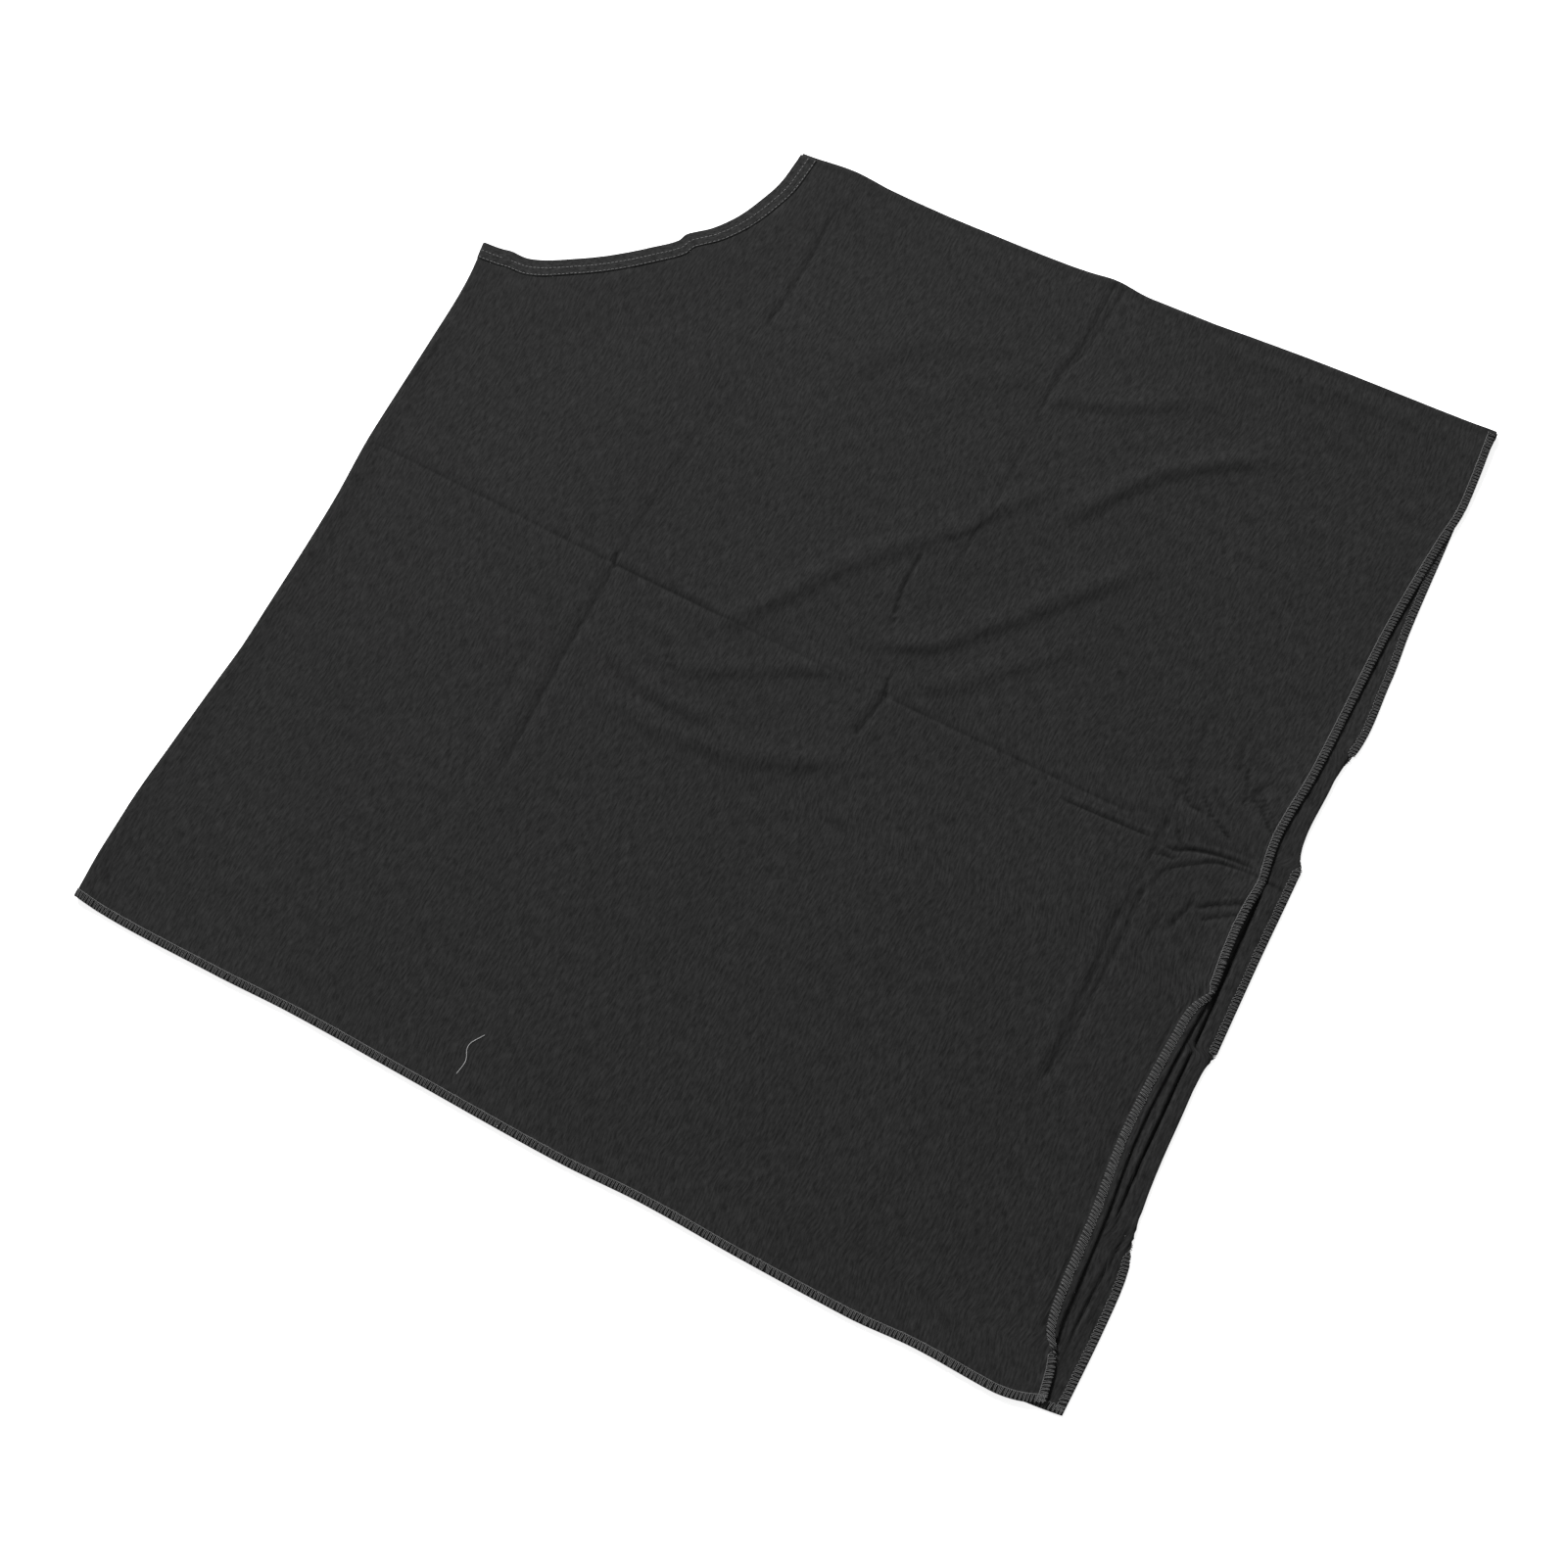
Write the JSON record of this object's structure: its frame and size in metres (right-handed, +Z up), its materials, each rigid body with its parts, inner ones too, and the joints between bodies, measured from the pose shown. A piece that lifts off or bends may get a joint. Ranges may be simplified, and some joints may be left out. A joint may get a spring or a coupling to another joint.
{
  "type": "barber cape",
  "caption": "Pull-on jersey barber cape folded flat: square, bound quarter-circle neckline at the closed corner, one fold, one seam, two overlocked open sides.",
  "frame": {"origin": "centre of the folded cape's bounding box in plan, on the surface it lies on", "axes": "+X from the fold towards the open side edge, +Y from the hem towards the seamed edge, +Z up out of the surface"},
  "size_m": [0.62, 0.6206, 0.0055],
  "materials": {
    "jersey": "matt charcoal single jersey",
    "binding_jersey": "matt charcoal jersey strip",
    "needle_thread": "grey spun thread",
    "looper_thread": "grey textured thread",
    "overlock_thread": "grey spun thread",
    "stray_thread": "pale loose thread"
  },
  "bodies": {
    "root": {"body_panel": "jersey", "neck_binding": "binding_jersey", "neck_thread_outer": "needle_thread", "neck_thread_inner": "needle_thread", "neck_looper_thread": "looper_thread", "side_seam": "overlock_thread", "hem_overlock": "overlock_thread", "side_overlock_upper": "overlock_thread", "side_overlock_lower": "overlock_thread", "stray_thread": "stray_thread"}
  },
  "joints": []
}
